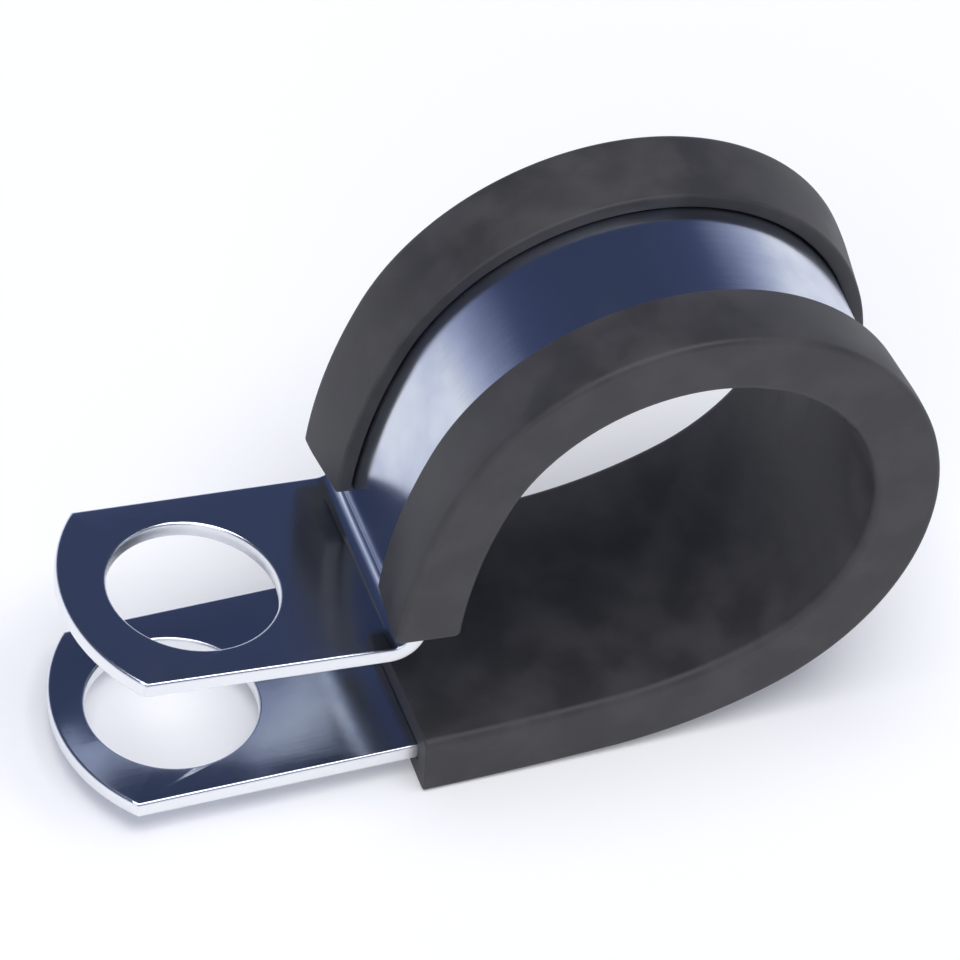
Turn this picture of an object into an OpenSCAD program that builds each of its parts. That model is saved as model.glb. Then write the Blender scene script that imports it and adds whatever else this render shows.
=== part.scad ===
// Rubber-lined P clip for a round cable or pipe, standing open as it leaves the press.
// A flat steel strip is folded into a loop with two bolt tabs, and a moulded rubber
// channel is pressed over the strip's edges round the whole loop.
// Origin: on the cable's axis, at the middle of the clip's width.
// +X runs from the bolt tabs to the loop, +Y along the cable, +Z from the lower tab to the upper.

/* [Steel strip] */
// Width of the strip
strip_w = 12; // [10:0.5:15]
// Thickness of the strip
strip_t = 0.9; // [0.7:0.05:1.1]

/* [Loop] */
// Diameter of the cable that the lined loop holds
bore_d = 19.6; // [18:0.1:24]
// Bore radius where the loop flattens out towards the lower tab
foot_bore_r = 21.25; // [19:0.25:24]
// Degrees turned from the lower tab to the end of the foot arc
foot_turn = 23; // [20:1:27]
// Bore radius of the shallow arc that leads from the flat of the lower tab into the foot arc
lead_bore_r = 175; // [120:5:200]
// Degrees that this lead-in turns
lead_turn = 3; // [2:0.5:4]
// Bore radius where the loop flattens out towards the upper tab
throat_bore_r = 23.75; // [20:0.25:28]
// Degrees turned from the lower tab to the start of the throat arc
throat_start = 245; // [240:1:248]

/* [Bolt tabs] */
// Diameter of the bolt hole in each tab
bolt_hole_d = 8.5; // [6.5:0.1:9]
// From the bore's edge to the lower tab's hole, along X
bolt_reach = 13.3; // [12.5:0.1:15]
// From the upper tab's hole to its fold
hole_to_fold = 8.2; // [7:0.1:10]
// From the upper tab's hole to its tip
upper_tip = 6.6; // [6:0.1:8]
// From the lower tab's hole to its tip
lower_tip = 5.9; // [5.6:0.1:8]
// Radius of each tab's rounded end
tip_r = 9; // [8.5:0.5:14]
// Clear height between the tabs at the lower tab's hole
tab_gap = 7.2; // [6:0.1:9]
// Angle by which the upper tab rises towards its tip
tab_rise = 5.4; // [2:0.1:9]
// Inside radius of the fold between the loop and the upper tab
fold_r = 0.8; // [0.6:0.1:1.5]
// Thickness that each face of the strip loses as it is drawn round the fold
fold_thinning = 0.02; // [0.01:0.01:0.04]

/* [Rubber lining] */
// Rubber between the strip and the cable
liner_t = 1.3; // [0.9:0.05:1.5]
// Rubber beyond each edge of the strip
side_wall = 1.2; // [1:0.05:1.6]
// Height of the rim over the strip's outer face
rim_h = 1.2; // [1:0.05:1.6]
// Width of each lip, from the lining's side to the lip's free edge
lip_w = 4; // [3:0.1:4.6]
// Thickness of each lip at its free edge
lip_edge_t = 0.8; // [0.4:0.05:0.9]
// Width of the flat top of the rim
rim_land = 0.9; // [0.6:0.1:1.3]
// Radius of the lining's moulded outer corners
corner_r = 0.3; // [0.2:0.05:0.4]
// Play between the strip and the channel that grips it
channel_fit = 0.05; // [0.04:0.01:0.1]
// Bare strip between the lining's upper end and the fold
upper_setback = 0.8; // [0.5:0.1:1.5]

/* [Hidden] */
$fn = 96;
corner_steps = 3;
half_t = strip_t / 2;

// Radii of the strip's centre line in the lead-in, the foot, the loop and the throat
lined = liner_t + half_t;
lead_r = lead_bore_r + lined;
foot_r = foot_bore_r + lined;
loop_r = bore_d / 2 + lined;
throat_r = throat_bore_r + lined;

// A point at radius r from the centre c, reached while travelling in the direction a
function on_arc(c, r, a) = c + r * [sin(a), -cos(a)];

// Arc centres as [x, z]; each arc leaves the one before it without a kink
foot_c = -on_arc([0, 0], foot_r - loop_r, foot_turn);
lead_c = on_arc(foot_c, foot_r - lead_r, lead_turn);
throat_c = on_arc([0, 0], loop_r - throat_r, throat_start);

// The lower tab is flat as far as the lining, where the lead-in starts
lower_root = [lead_c[0], lead_c[1] - lead_r];
lower_hole_x = -(bore_d / 2 + bolt_reach);

// The upper tab's centre line: a point over the lower hole, its direction and its normal
tab_dir = [cos(tab_rise), -sin(tab_rise)];
tab_normal = [sin(tab_rise), cos(tab_rise)];
over_hole = [lower_hole_x, lower_root[1] + half_t + tab_gap] + half_t * tab_normal;

// The fold's centre lies fold_mid_r over that line and touches the throat arc from outside
fold_mid_r = fold_r + half_t;
fold_line = over_hole + fold_mid_r * tab_normal - throat_c;
fold_reach = throat_r + fold_mid_r;
crossing = sqrt(pow(fold_line * tab_dir, 2) + pow(fold_reach, 2) - fold_line * fold_line);
to_fold = fold_line - (fold_line * tab_dir + crossing) * tab_dir;
throat_end = 360 + atan2(to_fold[0], -to_fold[1]);
lining_end = throat_end - upper_setback / throat_r * 180 / PI;
fold_c = throat_c + to_fold;
upper_root = fold_c - fold_mid_r * tab_normal;

// The fold turns the other way, so its directions of travel are reckoned backwards round fold_c
fold_overlap = 2;
fold_from = -tab_rise - fold_overlap;
fold_to = throat_end - 180 + fold_overlap;

// The lining's section, as [outward from the strip's centre line, along the cable]
bore_face = -(half_t + liner_t);
rim_top = half_t + rim_h;
channel_top = half_t + channel_fit;
lip_top = channel_top + lip_edge_t;
side_y = strip_w / 2 + side_wall;
land_y = side_y - rim_land;
lip_y = side_y - lip_w;
channel_y = strip_w / 2 + channel_fit;

// Points round a corner of radius r about c, from angle a to angle b
function corner(c, r, a, b) =
    [for (i = [0:corner_steps]) let (t = a + (b - a) * i / corner_steps) c + r * [cos(t), sin(t)]];

function mirrored(points) =
    [for (i = [len(points) - 1:-1:0]) [points[i][0], -points[i][1]]];

half_section = concat(
    corner([bore_face + corner_r, side_y - corner_r], corner_r, 180, 90),
    corner([rim_top - corner_r, side_y - corner_r], corner_r, 90, 0),
    [[rim_top, land_y], [lip_top, lip_y], [channel_top, lip_y],
     [channel_top, channel_y], [-channel_top, channel_y]]
);

// Puts a piece at the point c, as [x, z]: by whole thousandths and then by what is left over,
// so that no digit of the place is lost and meeting faces are flush
module at_point(c) {
    whole = [for (v = c) round(v * 1000) / 1000];
    left = c - whole;
    translate([whole[0], 0, whole[1]]) translate([left[0], 0, left[1]]) children();
}

// Carries a section round the centre c at radius r, between two directions of travel
module arc_run(c, r, from, to)
    at_point(c) rotate([90, 0, 0])
        rotate_extrude(start = from - 90, angle = to - from) translate([r, 0]) children();

// Turns a piece drawn along +X to run along -X, the way that both tabs leave the loop
module towards_tip() mirror([1, 0, 0]) children();

module strip_section(thickness) square([thickness, strip_w], center = true);

module channel_section() polygon(concat(half_section, mirrored(half_section)));

// A bolt tab along +X from its root, with its hole hole_at from the root
module bolt_tab(hole_at, tip) {
    length = hole_at + tip;
    difference() {
        translate([0, -strip_w / 2, -half_t]) cube([length, strip_w, strip_t]);
        difference() {
            translate([length - tip_r, -strip_w, -strip_t]) cube([2 * tip_r, 2 * strip_w, 2 * strip_t]);
            translate([length - tip_r, 0, -strip_w]) cylinder(r = tip_r, h = 2 * strip_w);
        }
        translate([hole_at, 0, -strip_t]) cylinder(d = bolt_hole_d, h = 2 * strip_t);
    }
}

// The steel strip: lower tab, lead-in, foot, loop, throat, fold and upper tab in one piece. The
// fold is thinner than what it joins, and its ends run a little way into both.
module band()
    color("lightsteelblue") {
        at_point(lower_root) towards_tip() bolt_tab(lower_root[0] - lower_hole_x, lower_tip);
        arc_run(lead_c, lead_r, 0, lead_turn) strip_section(strip_t);
        arc_run(foot_c, foot_r, lead_turn, foot_turn) strip_section(strip_t);
        arc_run([0, 0], loop_r, foot_turn, throat_start) strip_section(strip_t);
        arc_run(throat_c, throat_r, throat_start, throat_end) strip_section(strip_t);
        arc_run(fold_c, fold_mid_r, fold_from, fold_to) strip_section(strip_t - 2 * fold_thinning);
        at_point(upper_root) rotate([0, tab_rise, 0]) towards_tip() bolt_tab(hole_to_fold, upper_tip);
    }

// The rubber channel: a bore liner, two side walls and two lips that taper over the strip
module lining()
    color("dimgray") {
        arc_run(lead_c, lead_r, 0, lead_turn) channel_section();
        arc_run(foot_c, foot_r, lead_turn, foot_turn) channel_section();
        arc_run([0, 0], loop_r, foot_turn, throat_start) channel_section();
        arc_run(throat_c, throat_r, throat_start, lining_end) channel_section();
    }

band();
lining();
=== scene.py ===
"""Looks of a rubber-lined P clip: a zinc-plated steel strip pressed into a moulded rubber channel.

Both pieces are made the way the real ones are. Each starts as a flat blank, laid out along the
strip's developed length, and the blank is then bent along the clip's route.
"""

import logging
import math
from dataclasses import dataclass, field
from enum import Enum, IntEnum
from typing import NamedTuple

import bmesh
import bpy
from mathutils import Matrix, Vector


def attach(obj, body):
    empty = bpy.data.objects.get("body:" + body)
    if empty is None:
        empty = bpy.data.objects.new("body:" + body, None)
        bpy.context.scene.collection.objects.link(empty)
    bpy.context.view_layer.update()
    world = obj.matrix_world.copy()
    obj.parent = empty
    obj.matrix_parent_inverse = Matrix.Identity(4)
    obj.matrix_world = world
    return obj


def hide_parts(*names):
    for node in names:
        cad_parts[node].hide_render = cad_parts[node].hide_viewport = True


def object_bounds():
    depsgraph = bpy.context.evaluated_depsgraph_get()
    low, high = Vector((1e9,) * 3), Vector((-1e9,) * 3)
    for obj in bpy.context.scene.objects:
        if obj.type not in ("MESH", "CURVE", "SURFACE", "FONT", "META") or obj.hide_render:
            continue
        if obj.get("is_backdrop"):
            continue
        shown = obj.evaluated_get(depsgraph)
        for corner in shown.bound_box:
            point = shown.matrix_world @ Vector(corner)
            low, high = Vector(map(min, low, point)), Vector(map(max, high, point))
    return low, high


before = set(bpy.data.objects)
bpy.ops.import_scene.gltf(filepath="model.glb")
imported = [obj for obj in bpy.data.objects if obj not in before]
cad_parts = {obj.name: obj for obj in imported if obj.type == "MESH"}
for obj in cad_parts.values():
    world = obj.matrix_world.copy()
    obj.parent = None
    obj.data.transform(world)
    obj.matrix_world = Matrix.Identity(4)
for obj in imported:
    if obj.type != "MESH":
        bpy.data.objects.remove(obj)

MM = 0.001
log = logging.getLogger("p_clip")

Color = tuple[float, float, float]
Socket = bpy.types.NodeSocket

# Distances on a flat blank, in millimetres, under which two places count as one
SAME_ROW = 1e-4
WELD = 1e-3
# An edge that turns by more than this is a corner that shearing left
SQUARE_EDGE = math.radians(60)


class Part(Enum):
    """The clip's pieces, by the name of the CAD node that each one stands for."""

    BAND = "band"
    LINING = "lining"


class Run(IntEnum):
    """The stretches of the strip's route, in their order from the lower tab's tip."""

    LOWER_TAB = 0
    LEAD_IN = 1
    FOOT = 2
    LOOP = 3
    THROAT = 4
    FOLD = 5
    UPPER_TAB = 6


@dataclass(frozen=True)
class StripSizes:
    """Driving sizes of the steel strip and its route, in millimetres and degrees."""

    width: float = 12.0
    thickness: float = 0.9
    bore_r: float = 9.8
    lead_bore_r: float = 175.0
    lead_turn: float = 3.0
    foot_bore_r: float = 21.25
    foot_turn: float = 23.0
    throat_bore_r: float = 23.75
    throat_start: float = 245.0
    hole_r: float = 4.25
    bolt_reach: float = 13.3
    hole_to_fold: float = 8.2
    upper_tip: float = 6.6
    lower_tip: float = 5.9
    tip_r: float = 9.0
    tab_gap: float = 7.2
    tab_rise: float = 5.4
    fold_r: float = 0.8
    sheared_edge: float = 0.16

    @property
    def half_t(self) -> float:
        """Half the strip's thickness."""
        return self.thickness / 2


@dataclass(frozen=True)
class ChannelSizes:
    """Driving sizes of the rubber channel's section, in millimetres."""

    liner_t: float = 1.3
    side_wall: float = 1.2
    rim_h: float = 1.2
    lip_w: float = 4.0
    lip_edge_t: float = 0.8
    rim_land: float = 0.9
    fit: float = 0.05
    upper_setback: float = 0.8
    bore_corner: float = 0.45
    rim_corner: float = 0.3
    land_blend: float = 0.5
    lip_corner: float = 0.14
    end_corner: float = 0.1


@dataclass(frozen=True)
class RowSteps:
    """About how far apart the rows of points lie on each stretch, in millimetres."""

    straight: float = 30.0
    lead_in: float = 1.0
    foot: float = 0.5
    loop: float = 0.3
    throat: float = 0.5
    fold: float = 0.08


@dataclass(frozen=True)
class Stretch:
    """A run of the route with one curvature."""

    length: float
    turn: float
    step: float


@dataclass
class Route:
    """The strip's centre line, from the lower tab's tip round the loop to the upper tab's tip.

    Distances run along the centre line. A heading of 0 is +X, and it grows as the strip turns
    towards +Z. The normal points away from the loop's inside.
    """

    strip: StripSizes
    channel: ChannelSizes
    steps: RowSteps = field(default_factory=RowSteps)
    stretches: list[Stretch] = field(init=False)
    start: Vector = field(init=False)

    def __post_init__(self) -> None:
        """Works out the stretches from the driving sizes."""
        s = self.strip
        lined = self.channel.liner_t + s.half_t
        lead_r = s.lead_bore_r + lined
        foot_r = s.foot_bore_r + lined
        loop_r = s.bore_r + lined
        throat_r = s.throat_bore_r + lined
        fold_r = s.fold_r + s.half_t
        foot_c = self._on_arc(Vector((0, 0)), loop_r - foot_r, s.foot_turn)
        lead_c = self._on_arc(foot_c, foot_r - lead_r, s.lead_turn)
        throat_c = self._on_arc(Vector((0, 0)), loop_r - throat_r, s.throat_start)
        lower_z = lead_c.y - lead_r
        hole_x = -(s.bore_r + s.bolt_reach)
        rise = math.radians(s.tab_rise)
        along = Vector((math.cos(rise), -math.sin(rise)))
        across = Vector((math.sin(rise), math.cos(rise)))
        over_hole = Vector((hole_x, lower_z + s.half_t + s.tab_gap)) + s.half_t * across
        line = over_hole + fold_r * across - throat_c
        reach = throat_r + fold_r
        crossing = math.sqrt(line.dot(along) ** 2 + reach**2 - line.length_squared)
        to_fold = line - (line.dot(along) + crossing) * along
        throat_end = 360 + math.degrees(math.atan2(to_fold.x, -to_fold.y))
        self.start = Vector((hole_x - s.lower_tip, lower_z))
        step = self.steps
        self.stretches = [
            Stretch(lead_c.x - self.start.x, 0, step.straight),
            self._arc(lead_r, s.lead_turn, step.lead_in),
            self._arc(foot_r, s.foot_turn - s.lead_turn, step.foot),
            self._arc(loop_r, s.throat_start - s.foot_turn, step.loop),
            self._arc(throat_r, throat_end - s.throat_start, step.throat),
            self._arc(-fold_r, throat_end + s.tab_rise - 180, step.fold),
            Stretch(s.hole_to_fold + s.upper_tip, 0, step.straight),
        ]

    @staticmethod
    def _on_arc(centre: Vector, radius: float, heading: float) -> Vector:
        """Gives the point at a radius from a centre that is reached on a heading."""
        a = math.radians(heading)
        return centre + radius * Vector((math.sin(a), -math.cos(a)))

    @staticmethod
    def _arc(radius: float, turn: float, step: float) -> Stretch:
        """Makes the stretch that turns by some degrees at a signed radius."""
        angle = math.radians(turn)
        return Stretch(abs(radius) * angle, math.copysign(angle, radius), step)

    @property
    def length(self) -> float:
        """The strip's developed length."""
        return sum(s.length for s in self.stretches)

    def joint(self, run: Run) -> float:
        """Gives the distance at which a stretch starts."""
        return sum(s.length for s in self.stretches[:run])

    def stations(self, first: float, last: float) -> list[float]:
        """Lists the distances between two places at which a blank needs a row of points.

        Args:
            first: Where the rows start.
            last: Where the rows end.

        Returns:
            The distances in rising order, with both ends.
        """
        rows = [first]
        at = 0.0
        for stretch in self.stretches:
            count = max(1, round(stretch.length / stretch.step))
            rows += [at + stretch.length * i / count for i in range(1, count + 1)]
            at += stretch.length
        inside = sorted(r for r in rows if first + SAME_ROW < r < last - SAME_ROW)
        return [first, *inside, last]

    def place(self, blank: Vector) -> Vector:
        """Bends a point of a flat blank to its place on the clip.

        Args:
            blank: Distance along the strip, place across it and height outwards, in millimetres.

        Returns:
            The point in the clip's own frame, in metres.
        """
        left, at, heading = blank.x, self.start.copy(), 0.0
        for stretch in self.stretches:
            here = min(max(left, 0.0), stretch.length)
            if stretch is self.stretches[-1] or left < 0:
                here = left
            turn = stretch.turn * here / stretch.length
            if stretch.turn:
                radius = stretch.length / stretch.turn
                end = heading + turn
                at += radius * Vector(
                    (math.sin(end) - math.sin(heading), math.cos(heading) - math.cos(end))
                )
            else:
                at += here * Vector((math.cos(heading), math.sin(heading)))
            heading += turn
            left -= here
            if left <= 0:
                break
        out = at + blank.z * Vector((math.sin(heading), -math.cos(heading)))
        return Vector((out.x, blank.y, out.y)) * MM


@dataclass(frozen=True)
class ZincFinish:
    """Bright zinc plating on rolled steel strip."""

    color: Color = (0.62, 0.66, 0.72)
    stain: Color = (0.46, 0.50, 0.62)
    # The sheared walls' colour: partly their own lighter, rougher plating and partly a painted
    # highlight for the light their rounded edges catch
    edge_color_and_highlight: Color = (0.86, 0.87, 0.88)
    roughness: float = 0.13
    stain_roughness: float = 0.221
    edge_roughness: float = 0.38
    cloud_scale: float = 0.16
    cloud_detail: float = 4.0
    grain_along: float = 0.12
    grain_across: float = 4.0
    grain_bump: float = 0.06
    grain_height: float = 0.05

    def build(self) -> bpy.types.Material:
        """Makes the plated material, whose patterns follow the strip.

        Returns:
            The material.
        """
        mat, nodes, links, shader = new_material("zinc_plating")
        shader.inputs["Metallic"].default_value = 1.0
        shader.inputs["IOR"].default_value = 1.5
        cloud = group_node(
            nodes, mottle_group(), {"Scale": self.cloud_scale, "Detail": self.cloud_detail}
        )
        grain = group_node(
            nodes, grain_group(), {"Along": self.grain_along, "Across": self.grain_across}
        )
        place = strip_place(nodes)
        for node in (cloud, grain):
            links.new(place, node.inputs["Vector"])
        edge = nodes.new("ShaderNodeAttribute")
        edge.attribute_name = "cut_edge"
        face = mix_color(nodes, links, cloud.outputs["Mask"], self.color, self.stain)
        # Lighter on the sheared walls: partly their own finish, partly a painted highlight
        base = mix_color(nodes, links, edge.outputs["Fac"], face, self.edge_color_and_highlight)
        links.new(base, shader.inputs["Base Color"])
        smooth = map_range(
            nodes, links, cloud.outputs["Mask"], self.roughness, self.stain_roughness
        )
        rough = mix_value(nodes, links, edge.outputs["Fac"], smooth, self.edge_roughness)
        links.new(rough, shader.inputs["Roughness"])
        normal = bump(nodes, links, grain.outputs["Height"], self.grain_bump, self.grain_height)
        links.new(normal, shader.inputs["Normal"])
        return mat


@dataclass(frozen=True)
class RubberFinish:
    """Satin black rubber, as it leaves the mould."""

    color: Color = (0.028, 0.027, 0.029)
    bloom: Color = (0.050, 0.048, 0.052)
    roughness: float = 0.52
    bloom_roughness: float = 0.64
    cloud_scale: float = 0.35
    cloud_detail: float = 6.0
    skin_scale: float = 6.0
    skin_bump: float = 0.25
    skin_height: float = 0.03

    def build(self) -> bpy.types.Material:
        """Makes the rubber material.

        Returns:
            The material.
        """
        mat, nodes, links, shader = new_material("moulded_rubber")
        shader.inputs["IOR"].default_value = 1.5
        cloud = group_node(
            nodes, mottle_group(), {"Scale": self.cloud_scale, "Detail": self.cloud_detail}
        )
        skin = group_node(nodes, skin_group(), {"Scale": self.skin_scale})
        place = strip_place(nodes)
        for node in (cloud, skin):
            links.new(place, node.inputs["Vector"])
        base = mix_color(nodes, links, cloud.outputs["Mask"], self.color, self.bloom)
        links.new(base, shader.inputs["Base Color"])
        rough = map_range(
            nodes, links, cloud.outputs["Mask"], self.roughness, self.bloom_roughness
        )
        links.new(rough, shader.inputs["Roughness"])
        normal = bump(nodes, links, skin.outputs["Height"], self.skin_bump, self.skin_height)
        links.new(normal, shader.inputs["Normal"])
        return mat


def new_material(
    name: str,
) -> tuple[bpy.types.Material, bpy.types.Nodes, bpy.types.NodeLinks, bpy.types.Node]:
    """Makes a material that holds only its Principled shader and output.

    Args:
        name: The material's name.

    Returns:
        The material, its nodes, its links and its shader node.
    """
    mat = bpy.data.materials.new(name)
    mat.use_nodes = True
    nodes, links = mat.node_tree.nodes, mat.node_tree.links
    return mat, nodes, links, nodes["Principled BSDF"]


def group_node(
    nodes: bpy.types.Nodes, tree: bpy.types.NodeTree, values: dict[str, float]
) -> bpy.types.Node:
    """Places a shared node group in a material with its own values.

    Args:
        nodes: The material's nodes.
        tree: The shared group.
        values: The value of each named input.

    Returns:
        The group's node.
    """
    node = nodes.new("ShaderNodeGroup")
    node.node_tree = tree
    for name, value in values.items():
        node.inputs[name].default_value = value
    return node


def strip_place(nodes: bpy.types.Nodes) -> Socket:
    """Gives the place on the flat blank, in millimetres, as the socket that patterns read."""
    place = nodes.new("ShaderNodeUVMap")
    place.uv_map = "strip"
    return place.outputs["UV"]


def mix_color(
    nodes: bpy.types.Nodes,
    links: bpy.types.NodeLinks,
    factor: Socket,
    first: Socket | Color,
    second: Socket | Color,
) -> Socket:
    """Mixes two colours by a factor.

    Args:
        nodes: The material's nodes.
        links: The material's links.
        factor: How far to go from the first colour to the second.
        first: A colour or a socket that gives one.
        second: A colour or a socket that gives one.

    Returns:
        The mixed colour's socket.
    """
    mix = nodes.new("ShaderNodeMix")
    mix.data_type = "RGBA"
    links.new(factor, mix.inputs[0])
    for socket, value in ((mix.inputs[6], first), (mix.inputs[7], second)):
        if isinstance(value, bpy.types.NodeSocket):
            links.new(value, socket)
        else:
            socket.default_value = (*value, 1)
    return mix.outputs[2]


def mix_value(
    nodes: bpy.types.Nodes,
    links: bpy.types.NodeLinks,
    factor: Socket,
    first: Socket,
    second: float,
) -> Socket:
    """Mixes a value towards a constant.

    Args:
        nodes: The material's nodes.
        links: The material's links.
        factor: How far to go from the value to the constant.
        first: The value's socket.
        second: The constant.

    Returns:
        The mixed value's socket.
    """
    mix = nodes.new("ShaderNodeMix")
    links.new(factor, mix.inputs[0])
    links.new(first, mix.inputs[2])
    mix.inputs[3].default_value = second
    return mix.outputs[0]


def map_range(
    nodes: bpy.types.Nodes, links: bpy.types.NodeLinks, mask: Socket, low: float, high: float
) -> Socket:
    """Spreads a mask that runs from 0 to 1 over another range.

    Args:
        nodes: The material's nodes.
        links: The material's links.
        mask: The mask's socket.
        low: The value where the mask is 0.
        high: The value where the mask is 1.

    Returns:
        The spread value's socket.
    """
    node = nodes.new("ShaderNodeMapRange")
    links.new(mask, node.inputs["Value"])
    node.inputs["To Min"].default_value = low
    node.inputs["To Max"].default_value = high
    return node.outputs["Result"]


def bump(
    nodes: bpy.types.Nodes, links: bpy.types.NodeLinks, height: Socket, strength: float, depth: float
) -> Socket:
    """Turns a height into a bumped normal.

    Args:
        nodes: The material's nodes.
        links: The material's links.
        height: The height's socket.
        strength: How much of the bump shows.
        depth: The height's full size, in millimetres.

    Returns:
        The normal's socket.
    """
    node = nodes.new("ShaderNodeBump")
    node.inputs["Strength"].default_value = strength
    node.inputs["Distance"].default_value = depth * MM
    links.new(height, node.inputs["Height"])
    return node.outputs["Normal"]


def new_group(name: str, inputs: dict[str, str], output: str) -> bpy.types.NodeTree:
    """Makes a node group with named inputs and one float output.

    Args:
        name: The group's name.
        inputs: Each input's name and socket type.
        output: The output's name.

    Returns:
        The group, with its input and output nodes in place.
    """
    tree = bpy.data.node_groups.new(name, "ShaderNodeTree")
    for label, kind in inputs.items():
        tree.interface.new_socket(label, in_out="INPUT", socket_type=kind)
    tree.interface.new_socket(output, in_out="OUTPUT", socket_type="NodeSocketFloat")
    tree.nodes.new("NodeGroupInput")
    tree.nodes.new("NodeGroupOutput")
    return tree


def mottle_group() -> bpy.types.NodeTree:
    """Gives the group that makes soft clouds, as a mask from 0 to 1."""
    found = bpy.data.node_groups.get("soft_mottle")
    if found:
        return found
    kinds = {"Vector": "NodeSocketVector", "Scale": "NodeSocketFloat", "Detail": "NodeSocketFloat"}
    tree = new_group("soft_mottle", kinds, "Mask")
    nodes, links = tree.nodes, tree.links
    given, out = nodes["Group Input"], nodes["Group Output"]
    noise = nodes.new("ShaderNodeTexNoise")
    for name in ("Vector", "Scale", "Detail"):
        links.new(given.outputs[name], noise.inputs[name])
    spread = nodes.new("ShaderNodeMapRange")
    spread.interpolation_type = "SMOOTHSTEP"
    spread.inputs["From Min"].default_value = 0.35
    spread.inputs["From Max"].default_value = 0.68
    links.new(noise.outputs["Fac"], spread.inputs["Value"])
    links.new(spread.outputs["Result"], out.inputs["Mask"])
    return tree


def grain_group() -> bpy.types.NodeTree:
    """Gives the group that makes fine rolling streaks along a strip, as a height."""
    found = bpy.data.node_groups.get("rolling_grain")
    if found:
        return found
    kinds = {"Vector": "NodeSocketVector", "Along": "NodeSocketFloat", "Across": "NodeSocketFloat"}
    tree = new_group("rolling_grain", kinds, "Height")
    nodes, links = tree.nodes, tree.links
    given, out = nodes["Group Input"], nodes["Group Output"]
    scale = nodes.new("ShaderNodeCombineXYZ")
    links.new(given.outputs["Along"], scale.inputs["X"])
    links.new(given.outputs["Across"], scale.inputs["Y"])
    stretch = nodes.new("ShaderNodeVectorMath")
    stretch.operation = "MULTIPLY"
    links.new(given.outputs["Vector"], stretch.inputs[0])
    links.new(scale.outputs["Vector"], stretch.inputs[1])
    noise = nodes.new("ShaderNodeTexNoise")
    noise.inputs["Scale"].default_value = 1.0
    noise.inputs["Detail"].default_value = 5.0
    links.new(stretch.outputs["Vector"], noise.inputs["Vector"])
    links.new(noise.outputs["Fac"], out.inputs["Height"])
    return tree


def skin_group() -> bpy.types.NodeTree:
    """Gives the group that makes the fine pebbled skin of moulded rubber, as a height."""
    found = bpy.data.node_groups.get("moulded_skin")
    if found:
        return found
    kinds = {"Vector": "NodeSocketVector", "Scale": "NodeSocketFloat"}
    tree = new_group("moulded_skin", kinds, "Height")
    nodes, links = tree.nodes, tree.links
    given, out = nodes["Group Input"], nodes["Group Output"]
    noise = nodes.new("ShaderNodeTexNoise")
    noise.inputs["Detail"].default_value = 3.0
    links.new(given.outputs["Vector"], noise.inputs["Vector"])
    links.new(given.outputs["Scale"], noise.inputs["Scale"])
    links.new(noise.outputs["Fac"], out.inputs["Height"])
    return tree


@dataclass
class Blank:
    """A flat blank that is cut and edged before it is bent along the route."""

    route: Route
    mesh: bmesh.types.BMesh = field(default_factory=bmesh.new)

    def advance(self, geom: list, distance: float) -> None:
        """Moves points on along the strip."""
        verts = [g for g in geom if isinstance(g, bmesh.types.BMVert)]
        bmesh.ops.translate(self.mesh, verts=verts, vec=(distance, 0, 0))

    def soften(self, edges: list, radius: float, segments: int) -> None:
        """Rounds edges over at one radius."""
        bmesh.ops.bevel(
            self.mesh,
            geom=edges,
            offset=radius,
            offset_type="OFFSET",
            segments=segments,
            profile=0.5,
            affect="EDGES",
            clamp_overlap=True,
            material=-1,
        )

    def round_corners(self, corners: list, radius: float, segments: int) -> None:
        """Rounds the corners of a flat outline at one radius."""
        bmesh.ops.bevel(
            self.mesh,
            geom=corners,
            offset=radius,
            offset_type="OFFSET",
            segments=segments,
            profile=0.5,
            affect="VERTICES",
            clamp_overlap=True,
            material=-1,
        )

    def lay_out(self) -> None:
        """Keeps each point's place on the flat blank as the piece's UV map, in millimetres."""
        layer = self.mesh.loops.layers.uv.new("strip")
        for face in self.mesh.faces:
            for loop in face.loops:
                co = loop.vert.co
                loop[layer].uv = (co.x, co.y + co.z)

    def bend(self, name: str) -> bpy.types.Object:
        """Bends the blank along the route and makes it an object.

        Args:
            name: The piece's name.

        Returns:
            The finished object, at the origin, in metres.
        """
        for vert in self.mesh.verts:
            vert.co = self.route.place(vert.co)
        bmesh.ops.recalc_face_normals(self.mesh, faces=self.mesh.faces)
        for face in self.mesh.faces:
            face.smooth = True
        data = bpy.data.meshes.new(name)
        self.mesh.to_mesh(data)
        self.mesh.free()
        piece = bpy.data.objects.new(name, data)
        bpy.context.scene.collection.objects.link(piece)
        weigh = piece.modifiers.new("even_shading", "WEIGHTED_NORMAL")
        weigh.mode = "FACE_AREA_WITH_ANGLE"
        weigh.weight = 60
        return piece


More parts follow.
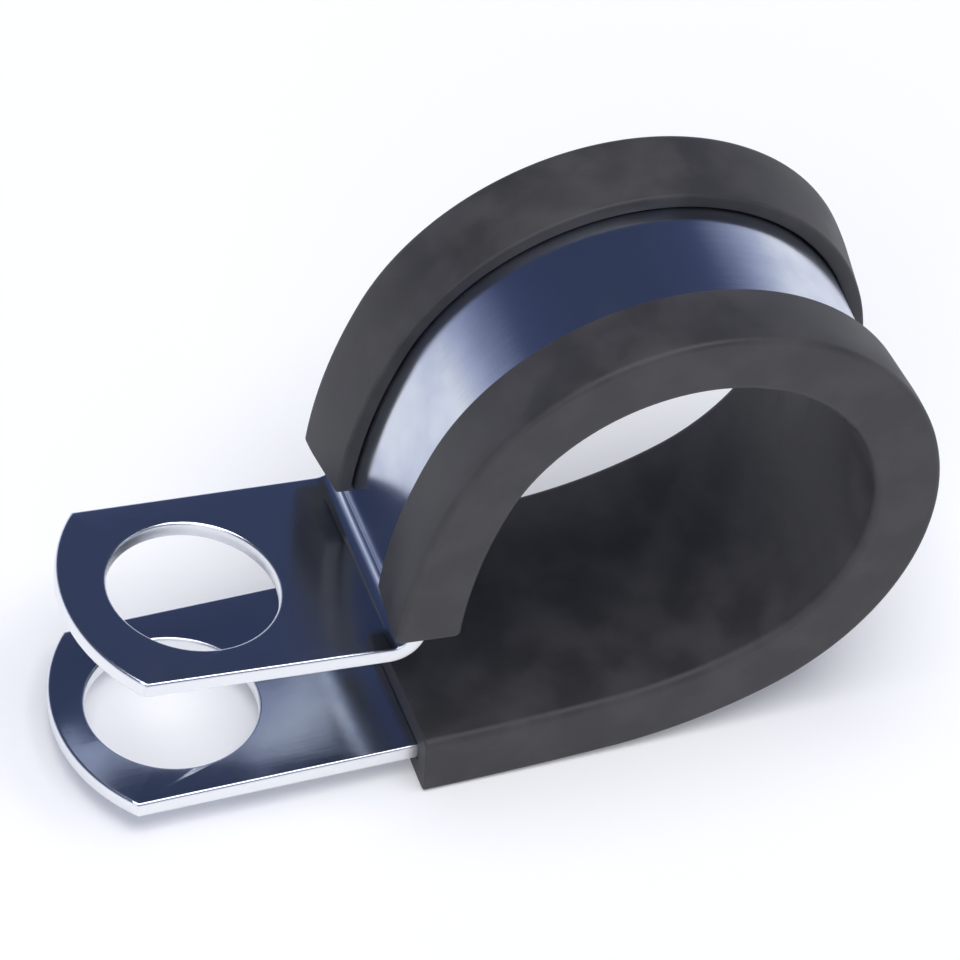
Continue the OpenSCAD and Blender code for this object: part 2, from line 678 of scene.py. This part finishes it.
@dataclass
class Band:
    """The steel strip: two bolt tabs, the loop between them and the fold."""

    sizes: StripSizes
    route: Route
    finish: ZincFinish = field(default_factory=ZincFinish)
    tip_steps: int = 28
    hole_steps: int = 72
    edge_steps: int = 3

    def build(self) -> bpy.types.Object:
        """Makes the band.

        Returns:
            The dressed piece, riding on the clip's body.
        """
        blank = Blank(self.route)
        length = self.route.length
        lower = self.route.joint(Run.LEAD_IN)
        upper = self.route.joint(Run.UPPER_TAB)
        root = self._tab(blank, 0, 1, lower, self.sizes.lower_tip)
        self._tab(blank, length, -1, length - upper, self.sizes.upper_tip)
        rows = self.route.stations(lower, upper)
        for here, there in zip(rows, rows[1:]):
            grown = bmesh.ops.extrude_edge_only(blank.mesh, edges=[root])["geom"]
            blank.advance(grown, there - here)
            root = self._far_edge(grown)
        bmesh.ops.remove_doubles(blank.mesh, verts=blank.mesh.verts, dist=WELD)
        bmesh.ops.recalc_face_normals(blank.mesh, faces=blank.mesh.faces)
        self._thicken(blank)
        self._shear_edges(blank)
        blank.lay_out()
        self._mark_cut_edges(blank)
        band = blank.bend("steel_band")
        band.data.materials.append(self.finish.build())
        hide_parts(Part.BAND.value)
        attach(band, "root")
        return band

    def _tab(
        self, blank: Blank, tip: float, way: int, length: float, hole_at: float
    ) -> bmesh.types.BMEdge:
        """Makes one bolt tab, flat, with its rounded tip and its hole.

        Args:
            blank: The blank that it belongs to.
            tip: The tip's distance along the strip.
            way: 1 if the strip follows the tip, and -1 if it comes before it.
            length: From the tip to the tab's root.
            hole_at: From the tip to the hole's middle.

        Returns:
            The edge across the tab's root.
        """
        bm, half_w = blank.mesh, self.sizes.width / 2
        centre = Vector((tip + way * self.sizes.tip_r, 0, 0))
        half_angle = math.asin(half_w / self.sizes.tip_r)
        run = self.sizes.tip_r * math.cos(half_angle)
        first = bm.verts.new((centre.x - way * run, -half_w, 0))
        spun = bmesh.ops.spin(
            bm,
            geom=[first],
            cent=centre,
            axis=(0, 0, 1),
            angle=-way * 2 * half_angle,
            steps=self.tip_steps,
            use_duplicate=False,
        )
        last = next(g for g in spun["geom_last"] if isinstance(g, bmesh.types.BMVert))
        arc = {e for e in bm.edges if not e.link_faces and self._near(e, tip)}
        ends = [bm.verts.new((tip + way * length, v.co.y, 0)) for v in (first, last)]
        root = bm.edges.new(ends)
        outline = [*arc, bm.edges.new((first, ends[0])), bm.edges.new((last, ends[1])), root]
        hole = bmesh.ops.create_circle(
            bm,
            cap_ends=False,
            radius=self.sizes.hole_r,
            segments=self.hole_steps,
            matrix=Matrix.Translation((tip + way * hole_at, 0, 0)),
        )
        rim = {e for v in hole["verts"] for e in v.link_edges}
        bmesh.ops.triangle_fill(bm, use_beauty=True, use_dissolve=False, edges=[*outline, *rim])
        return root

    def _near(self, edge: bmesh.types.BMEdge, tip: float) -> bool:
        """Tells whether an edge belongs to the tip at that distance."""
        return abs(edge.verts[0].co.x - tip) < self.sizes.tip_r

    @staticmethod
    def _far_edge(geom: list) -> bmesh.types.BMEdge:
        """Finds the edge that an extruded edge has become."""
        verts = {g for g in geom if isinstance(g, bmesh.types.BMVert)}
        edges = [g for g in geom if isinstance(g, bmesh.types.BMEdge)]
        return next(e for e in edges if verts.issuperset(e.verts))

    def _thicken(self, blank: Blank) -> None:
        """Gives the flat blank the strip's thickness, half on each side of its middle."""
        bm = blank.mesh
        bmesh.ops.translate(bm, verts=bm.verts, vec=(0, 0, -self.sizes.half_t))
        grown = bmesh.ops.extrude_face_region(bm, geom=bm.faces[:])["geom"]
        verts = [g for g in grown if isinstance(g, bmesh.types.BMVert)]
        bmesh.ops.translate(bm, verts=verts, vec=(0, 0, self.sizes.thickness))
        bmesh.ops.recalc_face_normals(bm, faces=bm.faces)

    def _shear_edges(self, blank: Blank) -> None:
        """Rounds the long edges, the tips and the holes as shearing and barrelling do."""
        sharp = [e for e in blank.mesh.edges if e.calc_face_angle(0) > SQUARE_EDGE]
        blank.soften(sharp, self.sizes.sheared_edge, self.edge_steps)

    @staticmethod
    def _mark_cut_edges(blank: Blank) -> None:
        """Marks the walls that shearing left, so that their plating gets a lighter colour, partly
        their own finish and partly a painted highlight.
        """
        layer = blank.mesh.loops.layers.float.new("cut_edge")
        for face in blank.mesh.faces:
            face.normal_update()
            for loop in face.loops:
                loop[layer] = 1 - face.normal.z**2


class Corner(NamedTuple):
    """A corner of the channel's section, in millimetres."""

    out: float
    across: float
    radius: float = 0.0
    steps: int = 0


@dataclass
class Lining:
    """The rubber channel: a bore liner, two side walls and two lips over the strip."""

    sizes: ChannelSizes
    strip: StripSizes
    route: Route
    finish: RubberFinish = field(default_factory=RubberFinish)
    end_steps: int = 2

    def build(self) -> bpy.types.Object:
        """Makes the lining.

        Returns:
            The dressed piece, riding on the clip's body.
        """
        blank = Blank(self.route)
        first = self.route.joint(Run.LEAD_IN)
        last = self.route.joint(Run.FOLD) - self.sizes.upper_setback
        rows = self.route.stations(first, last)
        cap = self._section(blank, first)
        start_edges = list(cap.edges)
        for here, there in zip(rows, rows[1:]):
            grown = bmesh.ops.extrude_face_region(blank.mesh, geom=[cap, *cap.edges])["geom"]
            blank.advance(grown, there - here)
            cap = next(g for g in grown if isinstance(g, bmesh.types.BMFace))
        blank.soften([*start_edges, *cap.edges], self.sizes.end_corner, self.end_steps)
        bmesh.ops.recalc_face_normals(blank.mesh, faces=blank.mesh.faces)
        blank.lay_out()
        lining = blank.bend("rubber_lining")
        lining.data.materials.append(self.finish.build())
        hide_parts(Part.LINING.value)
        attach(lining, "root")
        return lining

    def _section(self, blank: Blank, at: float) -> bmesh.types.BMFace:
        """Makes the channel's section, standing across the strip.

        Args:
            blank: The blank that it belongs to.
            at: The section's distance along the strip.

        Returns:
            The section's face.
        """
        c, half_t, half_w = self.sizes, self.strip.half_t, self.strip.width / 2
        side = half_w + c.side_wall
        rim = half_t + c.rim_h
        top = half_t + c.fit
        wall = half_w + c.fit
        half = [
            Corner(-(half_t + c.liner_t), side, c.bore_corner, 5),
            Corner(rim, side, c.rim_corner, 4),
            Corner(rim, side - c.rim_land, c.land_blend, 5),
            Corner(top + c.lip_edge_t, side - c.lip_w, c.lip_corner, 3),
            Corner(top, side - c.lip_w, c.lip_corner, 2),
            Corner(top, wall),
            Corner(-top, wall),
        ]
        whole = half + [corner._replace(across=-corner.across) for corner in reversed(half)]
        bm = blank.mesh
        verts = [bm.verts.new((at, corner.across, corner.out)) for corner in whole]
        bm.faces.new(verts)
        for vert, corner in zip(verts, whole):
            if corner.radius:
                blank.round_corners([vert], corner.radius, corner.steps)
        return bm.faces[:][0]


@dataclass(frozen=True)
class Lamp:
    """A wide soft lamp, far off in one direction."""

    name: str
    strength: float
    angle: float
    towards: tuple[float, float, float]

    def hang(self) -> None:
        """Hangs the lamp in the scene."""
        data = bpy.data.lights.new(self.name, "SUN")
        data.energy = self.strength
        data.angle = math.radians(self.angle)
        lamp = bpy.data.objects.new(self.name, data)
        lamp.rotation_euler = Vector(self.towards).to_track_quat("Z", "Y").to_euler()
        bpy.context.scene.collection.objects.link(lamp)


@dataclass(frozen=True)
class Studio:
    """The floor, the lights and the camera."""

    scale: float = 20.675
    azimuth: float = -21.27
    elevation: float = 46.43
    roll: float = 3.8
    aim_right: float = -7.483
    aim_up: float = -2.224
    frame_px: float = 960.0
    distance: float = 1.0
    floor_half: float = 3.0
    floor_color: Color = (0.88, 0.88, 0.89)
    floor_roughness: float = 0.9
    floor_glow: float = 0.16
    lamps: tuple[Lamp, ...] = (
        Lamp("overhead_softbox", 2.35, 50, (0.06, -0.16, 1)),
        Lamp("front_fill", 0.55, 40, (-0.5, -1, 0.9)),
    )
    room: tuple[tuple[float, Color], ...] = (
        (0.0, (0.95, 0.96, 1.0)),
        (0.12, (0.62, 0.66, 0.82)),
        (0.30, (0.30, 0.33, 0.48)),
        (0.50, (0.06, 0.08, 0.16)),
        (1.0, (0.03, 0.04, 0.08)),
    )

    def build(self, floor_z: float) -> None:
        """Sets the stage round the clip.

        Args:
            floor_z: The height of the surface that the clip stands on, in metres.
        """
        self._floor(floor_z)
        self._world()
        for lamp in self.lamps:
            lamp.hang()
        self._camera()
        bpy.context.scene.view_settings.view_transform = "Standard"

    def _floor(self, floor_z: float) -> None:
        """Lays the pale floor, which keeps the clip's shadow."""
        bm = bmesh.new()
        bmesh.ops.create_grid(bm, x_segments=1, y_segments=1, size=self.floor_half)
        bmesh.ops.translate(bm, verts=bm.verts, vec=(0, 0, floor_z))
        data = bpy.data.meshes.new("floor")
        bm.to_mesh(data)
        bm.free()
        floor = bpy.data.objects.new("floor", data)
        bpy.context.scene.collection.objects.link(floor)
        mat, nodes, links, shader = new_material("pale_floor")
        shader.inputs["Base Color"].default_value = (*self.floor_color, 1)
        shader.inputs["Roughness"].default_value = self.floor_roughness
        shader.inputs["Specular IOR Level"].default_value = 0.0
        shader.inputs["Emission Color"].default_value = (1, 1, 1, 1)
        path = nodes.new("ShaderNodeLightPath")
        seen = nodes.new("ShaderNodeMath")
        seen.operation = "MAXIMUM"
        links.new(path.outputs["Is Camera Ray"], seen.inputs[0])
        links.new(path.outputs["Is Glossy Ray"], seen.inputs[1])
        also = nodes.new("ShaderNodeMath")
        also.operation = "MAXIMUM"
        links.new(seen.outputs[0], also.inputs[0])
        links.new(path.outputs["Is Transmission Ray"], also.inputs[1])
        glow = nodes.new("ShaderNodeMath")
        glow.operation = "MULTIPLY"
        glow.inputs[1].default_value = self.floor_glow
        links.new(also.outputs[0], glow.inputs[0])
        links.new(glow.outputs[0], shader.inputs["Emission Strength"])
        data.materials.append(mat)
        floor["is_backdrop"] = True

    def _world(self) -> None:
        """Makes a dim room over a pale horizon."""
        world = bpy.data.worlds.new("dim_room")
        bpy.context.scene.world = world
        world.use_nodes = True
        nodes, links = world.node_tree.nodes, world.node_tree.links
        place = nodes.new("ShaderNodeTexCoord")
        split = nodes.new("ShaderNodeSeparateXYZ")
        links.new(place.outputs["Generated"], split.inputs["Vector"])
        ramp = nodes.new("ShaderNodeValToRGB")
        links.new(split.outputs["Z"], ramp.inputs["Fac"])
        ramp.color_ramp.elements[0].position = self.room[0][0]
        ramp.color_ramp.elements[1].position = self.room[-1][0]
        for height, _ in self.room[1:-1]:
            ramp.color_ramp.elements.new(height)
        for element, (_, color) in zip(ramp.color_ramp.elements, self.room):
            element.color = (*color, 1)
        links.new(ramp.outputs["Color"], nodes["Background"].inputs["Color"])

    def _camera(self) -> None:
        """Sets the camera, far off with a long lens."""
        az, el, roll = (math.radians(a) for a in (self.azimuth, self.elevation, self.roll))
        back = Vector((math.sin(az) * math.cos(el), -math.cos(az) * math.cos(el), math.sin(el)))
        level = Vector((math.cos(az), math.sin(az), 0))
        rise = back.cross(level)
        right = math.cos(roll) * level + math.sin(roll) * rise
        up = math.cos(roll) * rise - math.sin(roll) * level
        aim = (self.aim_right * right + self.aim_up * up) * MM
        data = bpy.data.cameras.new("camera")
        span = self.frame_px / self.scale * MM
        data.lens = data.sensor_width * self.distance / span
        camera = bpy.data.objects.new("camera", data)
        turn = Matrix((right, up, back)).transposed().to_4x4()
        camera.matrix_world = Matrix.Translation(aim + back * self.distance) @ turn
        bpy.context.scene.collection.objects.link(camera)
        bpy.context.scene.camera = camera


def corners(box: tuple) -> list[list[float]]:
    """Turns a box into plain lists of numbers."""
    return [list(corner) for corner in box]


def main() -> None:
    """Builds the clip's pieces and sets the stage on the floor under the CAD parts."""
    logging.basicConfig(level=logging.INFO, format="%(message)s")
    cad_box = corners(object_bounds())
    strip, channel = StripSizes(), ChannelSizes()
    route = Route(strip, channel)
    for part in (Band(strip, route), Lining(channel, strip, route)):
        piece = part.build()
        log.info("%s: %d faces", piece.name, len(piece.data.polygons))
    Studio().build(cad_box[0][2])


if __name__ == "__main__":
    main()
